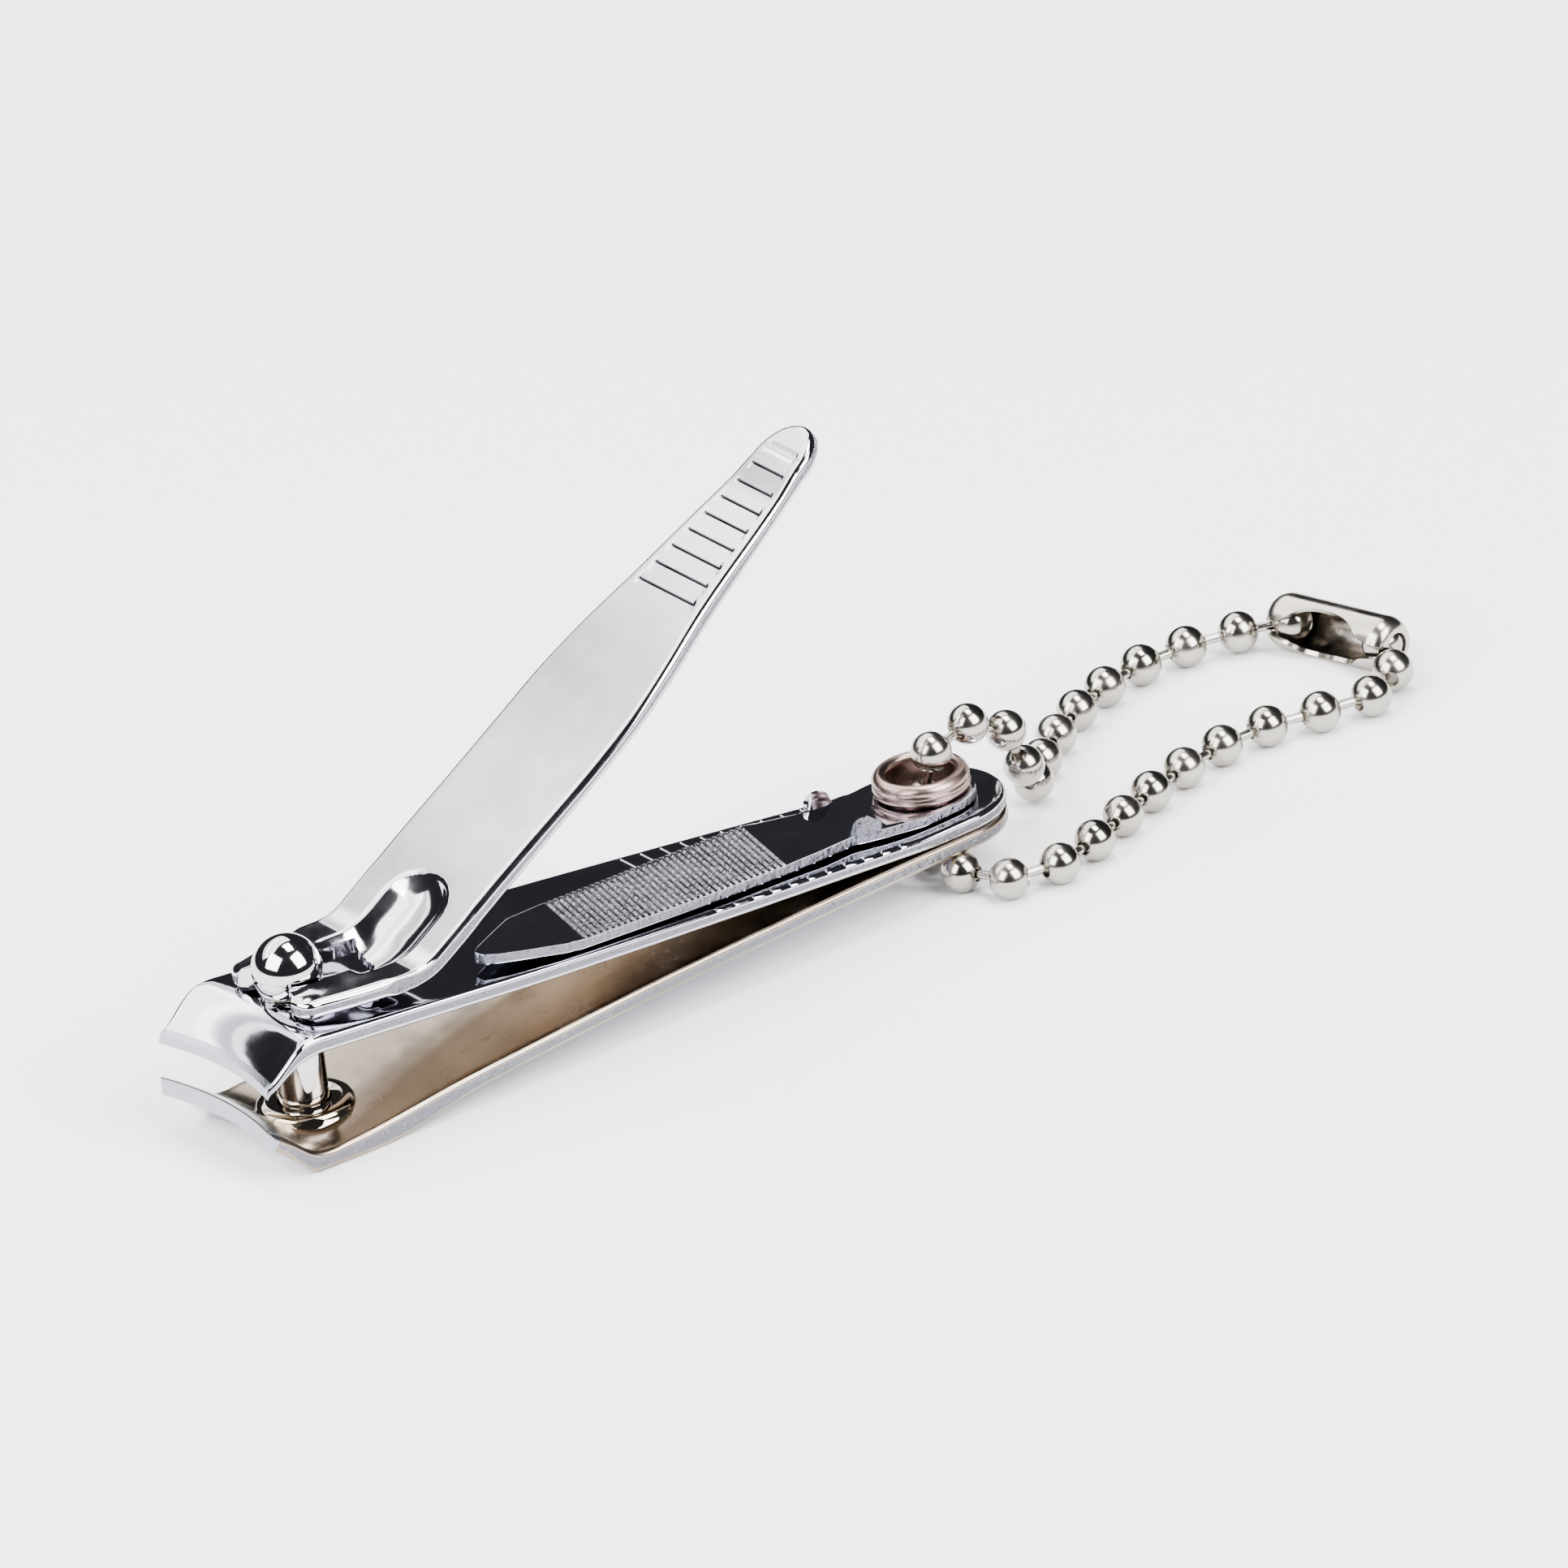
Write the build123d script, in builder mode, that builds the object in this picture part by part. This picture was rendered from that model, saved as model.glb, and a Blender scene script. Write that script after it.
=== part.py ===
"""Nail clipper with a swinging file, a press lever and a ball chain, in millimetres.

+X runs from the head to the tail, +Y is across the jaws, +Z is up. The clipper is drawn with
x = 0 at its cutting edges, then moved so that the origin is under the pin, where its foot meets
the floor, z = 0. It stands on its heel at the front and on its chain under the tail.
"""

import math
import os

from build123d import *

# Jaws
HALF_WIDTH = 5.6
SHEET = 1.05
TAIL_X, TAIL_RADIUS = 50.0, 4.0
EDGE_BOW_RADIUS = 20.8
BOW_CENTRE_X = -20.1
LOWER_EDGE_Z = 3.49
UPPER_EDGE_Z = 5.51

# Pin that pulls on the lever
PIN_X = 5.9
SHAFT_RADIUS = 1.45
NECK_RADIUS = 0.9
BALL_RADIUS = 2.0
BALL_Z = 9.97
RUNNING_GAP = 0.06

# Eyelet and file
EYELET_X = 49.2
BORE_RADIUS = 1.95
BARREL_RADIUS = 2.25
FLANGE_RADIUS = 2.85
FILE_SWUNG = 5.6
FILE_THICK = 0.65
FILE_Z = 4.48
FILE_TEETH = 32

# Lever
LEVER_THICK = 1.05
LEVER_RISE = 32.2
BEND_X, BEND_Z = 12.1, 9.35
SLOT_HALF = 1.5
PRESS_GROOVES = 9

# Ball chain
BEAD_RADIUS = 1.2
LINK_RADIUS = 0.33
LINK_HOLE = 0.42
CHAIN_LAY_OUT = [
    (49.1, -0.5, 1.3), (49.2, 0.0, 4.4), (49.5, -0.5, 7.4), (52.2, 0.0, 7.9), (54.9, 0.3, 6.7),
    (56.6, 0.8, 3.9), (58.1, 2.3, 1.7), (60.2, 4.5, 1.25), (65.3, 8.3, 1.2), (71.3, 10.6, 1.2),
    (77.4, 9.9, 1.2), (80.0, 8.2, 1.6),
]
CHAIN_LAY_BACK = [
    (82.0, 1.9, 1.6), (80.6, -1.3, 1.3), (77.9, -2.8, 1.2), (72.1, -1.9, 1.2), (69.0, -1.8, 1.2),
    (62.8, -3.4, 1.2), (56.4, -6.3, 1.2), (53.1, -7.1, 1.2), (50.3, -6.3, 1.2), (48.6, -3.9, 1.2),
    (49.1, -0.5, 1.3),
]
BEADS_OUT = 15
BEADS_BACK = 13
CONNECTOR_RADIUS = 1.65
CONNECTOR_WALL = 0.28

os.makedirs("parts", exist_ok=True)
TO_PIN = Location((-PIN_X, 0, 0))

# The outline both jaws share, seen from above: parallel sides, then a taper to a round tail.
JAW_SIDE = [(-3.0, 5.35), (2.4, 5.65), (20.0, 5.6), (33.0, 5.0), (42.0, 4.45), (50.3, 3.98)]

# Lower jaw: a bowed plate whose front turns up to the cutting edge.
with BuildPart() as lower_jaw:
    with BuildSketch(Plane.XZ) as lower_side:
        with BuildLine():
            Polyline((3.2, 0.0), (-1.0, 0.0), (-1.0, 5.0), (6.0, 5.0), (6.0, 1.2))
            Spline((6.0, 1.2), (14.6, 2.2), (26.0, 2.98), (38.0, 3.30), (46.0, 3.37))
            Polyline((46.0, 3.37), (55.0, 3.37), (55.0, 2.38), (46.0, 2.36))
            Spline((46.0, 2.36), (38.0, 2.26), (26.0, 1.95), (14.6, 1.1), (8.4, 0.0))
            Line((8.4, 0.0), (3.2, 0.0))
        make_face()
    extrude(amount=8, both=True)
    with BuildSketch(Plane.XY.offset(-1)):
        with BuildLine():
            Polyline(*JAW_SIDE)
            ThreePointArc((50.3, 3.98), (TAIL_X + TAIL_RADIUS, 0), (50.3, -3.98))
            Polyline(*[(x, -y) for x, y in reversed(JAW_SIDE)])
            Line((-3.0, -5.35), (-3.0, 5.35))
        make_face()
    extrude(amount=14, mode=Mode.INTERSECT)
    # Outer front wall, hollow ground edge and the inner curve, all bowed about one upright axis.
    with BuildSketch(Plane.XZ):
        with BuildLine():
            Polyline((-4, -1), (3.1, -1), (3.1, 0.0), (2.7, 0.12), (0.6, 2.38), (0.7, LOWER_EDGE_Z),
                     (0.7, 6), (-4, 6), close=True)
        make_face()
    revolve(axis=Axis((BOW_CENTRE_X, 0, 0), (0, 0, 1)), mode=Mode.SUBTRACT)
    with BuildSketch(Plane.XZ):
        with BuildLine():
            Polyline((0.0, LOWER_EDGE_Z), (0.7, LOWER_EDGE_Z), (1.7, 2.55))
            ThreePointArc((1.7, 2.55), (2.7, 1.5), (4.2, 1.1))
            Polyline((4.2, 1.1), (6.0, 1.2), (7.4, 1.36), (7.4, 6), (0.0, 6), (0.0, LOWER_EDGE_Z))
        make_face()
    revolve(axis=Axis((BOW_CENTRE_X, 0, 0), (0, 0, 1)), mode=Mode.SUBTRACT)
    # The sheet is pressed up into a low round seat about the pin, with a pocket under it.
    with Locations((PIN_X, 0, 0.9)):
        Cylinder(2.85, 0.9, align=(Align.CENTER, Align.CENTER, Align.MIN))
    with Locations((PIN_X, 0, 0)):
        Cylinder(2.3, 1.05, align=(Align.CENTER, Align.CENTER, Align.MIN), mode=Mode.SUBTRACT)
        Cylinder(SHAFT_RADIUS + RUNNING_GAP, 3, align=(Align.CENTER, Align.CENTER, Align.MIN),
                 mode=Mode.SUBTRACT)
    with Locations((EYELET_X, 0, 0)):
        Cylinder(BARREL_RADIUS, 5, align=(Align.CENTER, Align.CENTER, Align.MIN), mode=Mode.SUBTRACT)
lower_jaw_row = lower_jaw.part.moved(TO_PIN)
lower_jaw_row.label = "lower_jaw"
export_step(lower_jaw_row, "parts/lower_jaw.step")

# Upper jaw: a straighter plate, hollow at the front, scored across its rear for grip.
with BuildPart() as upper_jaw:
    with BuildSketch(Plane.XZ):
        with BuildLine():
            Polyline((-1.0, 8.6), (-1.0, 4.9), (5.0, 4.9), (5.0, 7.0), (45.0, 3.62), (47.5, 3.46),
                     (55.0, 3.42), (55.0, 4.37), (46.5, 4.37), (2.4, 8.29), (-1.0, 8.6))
        make_face()
    extrude(amount=8, both=True)
    with BuildSketch(Plane.XY.offset(2)):
        with BuildLine():
            Polyline(*JAW_SIDE)
            ThreePointArc((50.3, 3.98), (TAIL_X + TAIL_RADIUS, 0), (50.3, -3.98))
            Polyline(*[(x, -y) for x, y in reversed(JAW_SIDE)])
            Line((-3.0, -5.35), (-3.0, 5.35))
        make_face()
    extrude(amount=9, mode=Mode.INTERSECT)
    with BuildSketch(Plane.XZ):
        with BuildLine():
            Polyline((-4, 4), (0.9, 4), (0.9, UPPER_EDGE_Z), (0.97, 6.45), (2.85, 7.85))
            ThreePointArc((2.85, 7.85), (3.45, 8.13), (4.2, 8.14))
            Polyline((4.2, 8.14), (4.2, 9.5), (-4, 9.5), (-4, 4))
        make_face()
    revolve(axis=Axis((BOW_CENTRE_X, 0, 0), (0, 0, 1)), mode=Mode.SUBTRACT)
    with BuildSketch(Plane.XZ):
        with BuildLine():
            Polyline((0.0, UPPER_EDGE_Z), (0.9, UPPER_EDGE_Z), (1.9, 6.35))
            ThreePointArc((1.9, 6.35), (3.0, 6.95), (4.2, 7.06))
            Polyline((4.2, 7.06), (5.0, 6.99), (6.4, 6.85), (6.4, 4), (0.0, 4), (0.0, UPPER_EDGE_Z))
        make_face()
    revolve(axis=Axis((BOW_CENTRE_X, 0, 0), (0, 0, 1)), mode=Mode.SUBTRACT)
    # Wider than the shaft, because the jaw swings down past it.
    with Locations((PIN_X, 0, 5)):
        Cylinder(SHAFT_RADIUS + 0.35, 6, align=(Align.CENTER, Align.CENTER, Align.MIN), mode=Mode.SUBTRACT)
    with Locations((EYELET_X, 0, 2)):
        Cylinder(BARREL_RADIUS + 0.1, 5, align=(Align.CENTER, Align.CENTER, Align.MIN), mode=Mode.SUBTRACT)
    for step in range(11):
        groove_x = 31.5 + 1.32 * step
        with Locations(Location((groove_x, 0, 8.29 - (groove_x - 2.4) * 0.0889), (0, 5.1, 0))):
            Box(0.16, 12, 0.14, mode=Mode.SUBTRACT)
upper_jaw_row = upper_jaw.part.moved(TO_PIN)
upper_jaw_row.label = "upper_jaw"
export_step(upper_jaw_row, "parts/upper_jaw.step")

# Pin: a foot in the lower jaw's pocket, the shaft, a thin neck and the ball.
with BuildPart() as pin:
    with BuildSketch(Plane.XZ):
        with BuildLine():
            Polyline((PIN_X, 0.0), (PIN_X + 2.1, 0.0), (PIN_X + 2.1, 0.95), (PIN_X + SHAFT_RADIUS, 0.95),
                     (PIN_X + SHAFT_RADIUS, 7.2), (PIN_X + NECK_RADIUS, 7.6),
                     (PIN_X + NECK_RADIUS, BALL_Z - 1.5), (PIN_X, BALL_Z - 1.5), close=True)
        make_face()
    revolve(axis=Axis((PIN_X, 0, 0), (0, 0, 1)))
    with Locations((PIN_X, 0, BALL_Z)):
        Sphere(BALL_RADIUS)
pin_row = pin.part.moved(TO_PIN)
pin_row.label = "pin"
export_step(pin_row, "parts/pin.step")

# Lever: a flat fork under the ball, then the arm that rises from the bend.
rise = math.radians(LEVER_RISE)
arm_plane = Plane(origin=(BEND_X, 0, BEND_Z), x_dir=(math.cos(rise), 0, math.sin(rise)),
                  z_dir=(-math.sin(rise), 0, math.cos(rise)))
with BuildPart() as lever:
    with BuildSketch(Plane.XY.offset(BEND_Z - LEVER_THICK)):
        with BuildLine():
            Polyline((BEND_X, 5.0), (9.0, 4.9), (5.2, 4.0))
            ThreePointArc((5.2, 4.0), (4.2, 3.0), (4.6, SLOT_HALF))
            Line((4.6, SLOT_HALF), (4.6, -SLOT_HALF))
            ThreePointArc((4.6, -SLOT_HALF), (4.2, -3.0), (5.2, -4.0))
            Polyline((5.2, -4.0), (9.0, -4.9), (BEND_X, -5.0), (BEND_X, 5.0))
        make_face()
    extrude(amount=LEVER_THICK)
    with BuildSketch(arm_plane.offset(-LEVER_THICK)):
        with BuildLine():
            Polyline((-0.3, 5.0), (17.5, 5.05))
            Spline((17.5, 5.05), (21.5, 4.6), (26.0, 3.65), (31.5, 2.85), (35.6, 2.2))
            ThreePointArc((35.6, 2.2), (38.3, 0.0), (35.6, -2.2))
            Spline((35.6, -2.2), (31.5, -2.85), (26.0, -3.65), (21.5, -4.6), (17.5, -5.05))
            Polyline((17.5, -5.05), (-0.3, -5.0), (-0.3, 5.0))
        make_face()
    extrude(amount=LEVER_THICK)
    # The cam: a long dimple pressed down behind the slot, which bears on the upper jaw.
    with Locations(Location((11.0, 0, 9.95), (0, 90 - 0.6 * LEVER_RISE, 0))):
        Cylinder(2.35, 4.6, align=(Align.CENTER, Align.CENTER, Align.MIN))
    with Locations((11.0, 0, 9.95)):
        Sphere(2.35)
    # Trim the cam back to the lever's top face.
    with BuildSketch(Plane.XZ):
        with BuildLine():
            Polyline((0.0, BEND_Z), (BEND_X, BEND_Z),
                     (BEND_X + 30 * math.cos(rise), BEND_Z + 30 * math.sin(rise)), (0.0, 30), close=True)
        make_face()
    extrude(amount=6, both=True, mode=Mode.SUBTRACT)
    with Locations(Location((11.0, 0, 9.95), (0, 90 - 0.6 * LEVER_RISE, 0))):
        Cylinder(1.55, 4.6, align=(Align.CENTER, Align.CENTER, Align.MIN), mode=Mode.SUBTRACT)
    with Locations(Location((11.0, 0, 9.95), (0, 0, 0))):
        Sphere(1.55, mode=Mode.SUBTRACT)
    # Slot for the neck, and the ball's round seat in the fork.
    with Locations((2.0, 0, 7.0)):
        Box(7.9, 2 * SLOT_HALF, 4, align=(Align.MIN, Align.CENTER, Align.MIN), mode=Mode.SUBTRACT)
    with Locations((PIN_X, 0, BALL_Z)):
        Sphere(BALL_RADIUS + RUNNING_GAP, mode=Mode.SUBTRACT)
    for step in range(PRESS_GROOVES):
        with Locations(arm_plane * Location((25.9 + 1.3 * step, 0, 0))):
            Box(0.22, 6.6 - 0.42 * step, 0.3, mode=Mode.SUBTRACT)
lever_row = lever.part.moved(TO_PIN)
lever_row.label = "lever"
export_step(lever_row, "parts/lever.step")

# Nail file: a thin leaf on the eyelet, left a little to one side of the jaw.
swung = math.radians(FILE_SWUNG)
file_base = Plane(origin=(EYELET_X, 0, FILE_Z), x_dir=(-math.cos(swung), -math.sin(swung), 0), z_dir=(0, 0, 1))
file_side = Plane(origin=(EYELET_X, 0, FILE_Z), x_dir=(-math.cos(swung), -math.sin(swung), 0),
                  z_dir=(-math.sin(swung), math.cos(swung), 0))
with BuildPart() as nail_file:
    with BuildSketch(file_side):
        with BuildLine():
            Polyline((-6, 0), (2.5, 0), (33.5, 3.1), (33.5, 3.1 + FILE_THICK), (2.5, FILE_THICK),
                     (-6, FILE_THICK), close=True)
        make_face()
    extrude(amount=8, both=True)
    with BuildSketch(file_base):
        with BuildLine():
            Polyline((0, 3.05), (6.6, 3.1), (9.5, 2.6), (11.4, 2.45), (25.6, 3.25), (28.4, 3.0), (32.6, 1.3),
                     (32.9, 0.4), (28.3, -3.2), (26.2, -3.3), (11.4, -2.45), (9.5, -2.6), (6.6, -3.1),
                     (0, -3.05))
            ThreePointArc((0, -3.05), (-3.05, 0), (0, 3.05))
        make_face()
    extrude(amount=8, mode=Mode.INTERSECT)
    with Locations((EYELET_X, 0, 4)):
        Cylinder(BARREL_RADIUS + 0.09, 5, align=(Align.CENTER, Align.CENTER, Align.MIN), mode=Mode.SUBTRACT)
    for step in range(FILE_TEETH):
        along = 11.6 + 0.45 * step
        with Locations(file_base * Location((along, 0, FILE_THICK + (along - 2.5) * 0.1), (0, 0, -17))):
            Box(0.16, 9, 0.2, mode=Mode.SUBTRACT)
    # The two small ears turned up where the leaf narrows.
    with Locations(file_base * Location((6.3, 2.85, 0.45)), file_base * Location((6.3, -2.85, 0.45))):
        Cylinder(0.55, 1.5, align=(Align.CENTER, Align.CENTER, Align.MIN))
nail_file_row = nail_file.part.moved(TO_PIN)
nail_file_row.label = "nail_file"
export_step(nail_file_row, "parts/nail_file.step")

# Eyelet: the hollow rivet that holds both jaws and the file, rolled over at each end.
with BuildPart() as tail_eyelet:
    with BuildSketch(Plane.XZ):
        with BuildLine():
            Polyline((EYELET_X + BORE_RADIUS, 2.1), (EYELET_X + BORE_RADIUS, 6.0))
            ThreePointArc((EYELET_X + BORE_RADIUS, 6.0), (EYELET_X + 2.3, 6.4),
                          (EYELET_X + FLANGE_RADIUS - 0.15, 6.15))
            Polyline((EYELET_X + FLANGE_RADIUS - 0.15, 6.15), (EYELET_X + FLANGE_RADIUS, 5.9),
                     (EYELET_X + FLANGE_RADIUS - 0.12, 5.66), (EYELET_X + FLANGE_RADIUS, 5.45),
                     (EYELET_X + FLANGE_RADIUS - 0.1, 5.22), (EYELET_X + BARREL_RADIUS, 5.22),
                     (EYELET_X + BARREL_RADIUS, 2.33), (EYELET_X + FLANGE_RADIUS, 2.33),
                     (EYELET_X + FLANGE_RADIUS, 2.0))
            ThreePointArc((EYELET_X + FLANGE_RADIUS, 2.0), (EYELET_X + 2.4, 1.75),
                          (EYELET_X + BORE_RADIUS, 2.1))
        make_face()
    revolve(axis=Axis((EYELET_X, 0, 0), (0, 0, 1)))
tail_eyelet_row = tail_eyelet.part.moved(TO_PIN)
tail_eyelet_row.label = "tail_eyelet"
export_step(tail_eyelet_row, "parts/tail_eyelet.step")

# Ball chain. Its balls sit at even steps along the way it lies, out to the connector and back.
with BuildLine() as lay_out:
    Spline(*CHAIN_LAY_OUT)
with BuildLine() as lay_back:
    Spline(*CHAIN_LAY_BACK)
ball_centres = [lay_out.line @ (i / (BEADS_OUT - 1)) for i in range(BEADS_OUT)]
ball_centres += [lay_back.line @ (i / BEADS_BACK) for i in range(BEADS_BACK)]
count = len(ball_centres)
ways = [(ball_centres[(i + 1) % count] - ball_centres[i]) for i in range(count)]

for i in range(count):
    to_next, to_last = ways[i], ways[i - 1] * -1
    across = to_next.cross(Vector(0.02, 0, 1)).normalized()
    with BuildPart() as bead:
        # The ball's own poles and seam are turned away from its two holes.
        with Locations(Plane(origin=ball_centres[i], x_dir=across, z_dir=across.cross(to_next))):
            Sphere(BEAD_RADIUS)
        for way in (to_next, to_last):
            with BuildSketch(Plane(origin=ball_centres[i] + way.normalized() * (BEAD_RADIUS - 0.34),
                                   z_dir=way.normalized())):
                Circle(LINK_HOLE)
            extrude(amount=0.8, mode=Mode.SUBTRACT)
    bead_row = bead.part.moved(TO_PIN)
    bead_row.label = f"bead_{i + 1:02d}"
    export_step(bead_row, f"parts/bead_{i + 1:02d}.step")

# The wires that join the balls, one node for each strand. The one inside the connector is left out:
# the clasp bridges it.
with BuildPart() as wires_out:
    for i in range(BEADS_OUT - 1):
        way = ways[i]
        with BuildSketch(Plane(origin=ball_centres[i] + way.normalized() * (BEAD_RADIUS - 0.3),
                               z_dir=way.normalized())):
            Circle(LINK_RADIUS)
        extrude(amount=way.length - 2 * (BEAD_RADIUS - 0.3))
wires_out_row = wires_out.part.moved(TO_PIN)
wires_out_row.label = "wires_out"
export_step(wires_out_row, "parts/wires_out.step")

with BuildPart() as wires_back:
    for i in range(BEADS_OUT, count):
        way = ways[i]
        with BuildSketch(Plane(origin=ball_centres[i] + way.normalized() * (BEAD_RADIUS - 0.3),
                               z_dir=way.normalized())):
            Circle(LINK_RADIUS)
        extrude(amount=way.length - 2 * (BEAD_RADIUS - 0.3))
wires_back_row = wires_back.part.moved(TO_PIN)
wires_back_row.label = "wires_back"
export_step(wires_back_row, "parts/wires_back.step")

# Connector: a rolled tube, open along one side, that grips a ball in each end.
clasp_from, clasp_to = ball_centres[BEADS_OUT - 1], ball_centres[BEADS_OUT]
clasp_way = (clasp_to - clasp_from).normalized()
clasp_mid = (clasp_from + clasp_to) * 0.5
clasp_side = Vector(-clasp_way.Y, clasp_way.X, 0)
with BuildPart() as chain_connector:
    with BuildSketch(Plane(origin=clasp_mid - clasp_way * 4.4, x_dir=clasp_side, z_dir=clasp_way)):
        Circle(CONNECTOR_RADIUS)
        Circle(CONNECTOR_RADIUS - CONNECTOR_WALL, mode=Mode.SUBTRACT)
    extrude(amount=8.8)
    # The open side is wide at both ends and pinched at the middle.
    with BuildSketch(Plane(origin=clasp_mid, x_dir=clasp_way, z_dir=clasp_side.cross(clasp_way) * -1)):
        with BuildLine():
            Polyline((-5, 1.15), (-3.4, 1.0), (-1.6, 0.45), (0, 0.7), (1.6, 0.45), (3.4, 1.0), (5, 1.15),
                     (5, -1.15), (3.4, -1.0), (1.6, -0.45), (0, -0.7), (-1.6, -0.45), (-3.4, -1.0),
                     (-5, -1.15), close=True)
        make_face()
    extrude(amount=3, mode=Mode.SUBTRACT)
chain_connector_row = chain_connector.part.moved(TO_PIN)
chain_connector_row.label = "chain_connector"
export_step(chain_connector_row, "parts/chain_connector.step")
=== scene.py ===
"""Looks of the nail clipper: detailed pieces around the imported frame, floor, light and camera."""

import math
import random
import bmesh
import bpy
from mathutils import Matrix, Vector


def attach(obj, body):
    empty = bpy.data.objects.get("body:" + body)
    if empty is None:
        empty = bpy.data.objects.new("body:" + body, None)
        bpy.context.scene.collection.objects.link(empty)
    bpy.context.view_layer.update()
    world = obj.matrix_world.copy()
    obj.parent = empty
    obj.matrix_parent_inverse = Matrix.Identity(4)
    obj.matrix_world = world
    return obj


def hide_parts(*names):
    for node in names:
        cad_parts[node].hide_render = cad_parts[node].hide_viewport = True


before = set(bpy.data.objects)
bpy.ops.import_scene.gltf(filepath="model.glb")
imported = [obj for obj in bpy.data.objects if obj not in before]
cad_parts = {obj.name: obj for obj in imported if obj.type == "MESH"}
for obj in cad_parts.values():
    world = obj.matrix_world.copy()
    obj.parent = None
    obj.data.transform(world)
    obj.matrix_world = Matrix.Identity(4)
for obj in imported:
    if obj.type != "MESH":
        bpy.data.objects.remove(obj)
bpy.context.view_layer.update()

MM = 0.001
PIN_X = 5.9  # the drawing's x = 0 is at the cutting edges; the frame's is at the pin
EYELET_X = 49.2


def place(x, y, z):
    """A point of the drawing, in millimetres, as a point of the frame, in metres."""
    return Vector(((x - PIN_X) * MM, y * MM, z * MM))


def lerp(a, b, t):
    return a + (b - a) * t


def smooth(a, b, x):
    t = min(1.0, max(0.0, (x - a) / (b - a)))
    return t * t * (3 - 2 * t)


def table(points):
    """Straight runs through (x, value) points."""

    def value(x):
        if x <= points[0][0]:
            return points[0][1]
        for (xa, va), (xb, vb) in zip(points, points[1:]):
            if x <= xb:
                return lerp(va, vb, (x - xa) / (xb - xa))
        return points[-1][1]

    return value


def curve_table(points):
    """A smooth line through (x, value) points, with the slopes of its neighbours."""
    xs = [p[0] for p in points]
    vs = [p[1] for p in points]
    slopes = []
    for i in range(len(points)):
        a, b = max(0, i - 1), min(len(points) - 1, i + 1)
        slopes.append((vs[b] - vs[a]) / (xs[b] - xs[a]))

    def value(x):
        if x <= xs[0]:
            return vs[0] + slopes[0] * (x - xs[0])
        if x >= xs[-1]:
            return vs[-1] + slopes[-1] * (x - xs[-1])
        i = max(k for k in range(len(xs) - 1) if xs[k] <= x)
        h = xs[i + 1] - xs[i]
        t = (x - xs[i]) / h
        return (
            (2 * t**3 - 3 * t**2 + 1) * vs[i]
            + (t**3 - 2 * t**2 + t) * h * slopes[i]
            + (-2 * t**3 + 3 * t**2) * vs[i + 1]
            + (t**3 - t**2) * h * slopes[i + 1]
        )

    return value


# ---------------------------------------------------------------- materials


def chrome(name, tint, rough=(0.03, 0.10), grain=0.0, grain_axis=1, dirt=0.0, pits=0.0, scale=1.0,
           patch=None):
    """Bright plating: an even metal with faint haze, fine wear lines and, where asked, grinding."""
    mat = bpy.data.materials.new(name)
    mat.use_nodes = True
    nt = mat.node_tree
    bsdf = nt.nodes["Principled BSDF"]
    bsdf.inputs["Metallic"].default_value = 1.0
    where = nt.nodes.new("ShaderNodeTexCoord")
    haze = nt.nodes.new("ShaderNodeTexNoise")
    haze.inputs["Scale"].default_value = 420 * scale
    haze.inputs["Detail"].default_value = 6
    nt.links.new(where.outputs["Object"], haze.inputs["Vector"])
    blotch = haze
    if patch:
        blotch = nt.nodes.new("ShaderNodeTexNoise")
        blotch.inputs["Scale"].default_value = patch
        blotch.inputs["Detail"].default_value = 4
        nt.links.new(where.outputs["Object"], blotch.inputs["Vector"])
    tone = nt.nodes.new("ShaderNodeValToRGB")
    tone.color_ramp.elements[0].position = 0.3
    tone.color_ramp.elements[1].position = 0.7
    tone.color_ramp.elements[0].color = tuple(c * (0.93 - dirt * 0.4) for c in tint) + (1,)
    tone.color_ramp.elements[1].color = tuple(tint) + (1,)
    nt.links.new(blotch.outputs["Fac"], tone.inputs["Fac"])
    nt.links.new(tone.outputs["Color"], bsdf.inputs["Base Color"])
    ramp = nt.nodes.new("ShaderNodeMapRange")
    ramp.inputs["From Min"].default_value = 0.35
    ramp.inputs["From Max"].default_value = 0.75
    ramp.inputs["To Min"].default_value = rough[0]
    ramp.inputs["To Max"].default_value = rough[1]
    nt.links.new(haze.outputs["Fac"], ramp.inputs["Value"])
    nt.links.new(ramp.outputs["Result"], bsdf.inputs["Roughness"])
    # Fine lines: noise stretched along one axis, so that it reads as polishing or grinding.
    stretch = nt.nodes.new("ShaderNodeMapping")
    lines = [9000.0 * scale, 9000.0 * scale, 9000.0 * scale]
    lines[grain_axis] = 260.0 * scale
    stretch.inputs["Scale"].default_value = lines
    nt.links.new(where.outputs["Object"], stretch.inputs["Vector"])
    fine = nt.nodes.new("ShaderNodeTexNoise")
    fine.inputs["Scale"].default_value = 1.0
    fine.inputs["Detail"].default_value = 3
    nt.links.new(stretch.outputs["Vector"], fine.inputs["Vector"])
    bump = nt.nodes.new("ShaderNodeBump")
    bump.inputs["Strength"].default_value = 0.02 + grain
    bump.inputs["Distance"].default_value = 0.00003
    nt.links.new(fine.outputs["Fac"], bump.inputs["Height"])
    last = bump
    if pits:
        rough_noise = nt.nodes.new("ShaderNodeTexNoise")
        rough_noise.inputs["Scale"].default_value = 2600 * scale
        rough_noise.inputs["Detail"].default_value = 5
        nt.links.new(where.outputs["Object"], rough_noise.inputs["Vector"])
        torn = nt.nodes.new("ShaderNodeBump")
        torn.inputs["Strength"].default_value = pits
        torn.inputs["Distance"].default_value = 0.0003
        nt.links.new(rough_noise.outputs["Fac"], torn.inputs["Height"])
        nt.links.new(bump.outputs["Normal"], torn.inputs["Normal"])
        last = torn
    nt.links.new(last.outputs["Normal"], bsdf.inputs["Normal"])
    return mat


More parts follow.
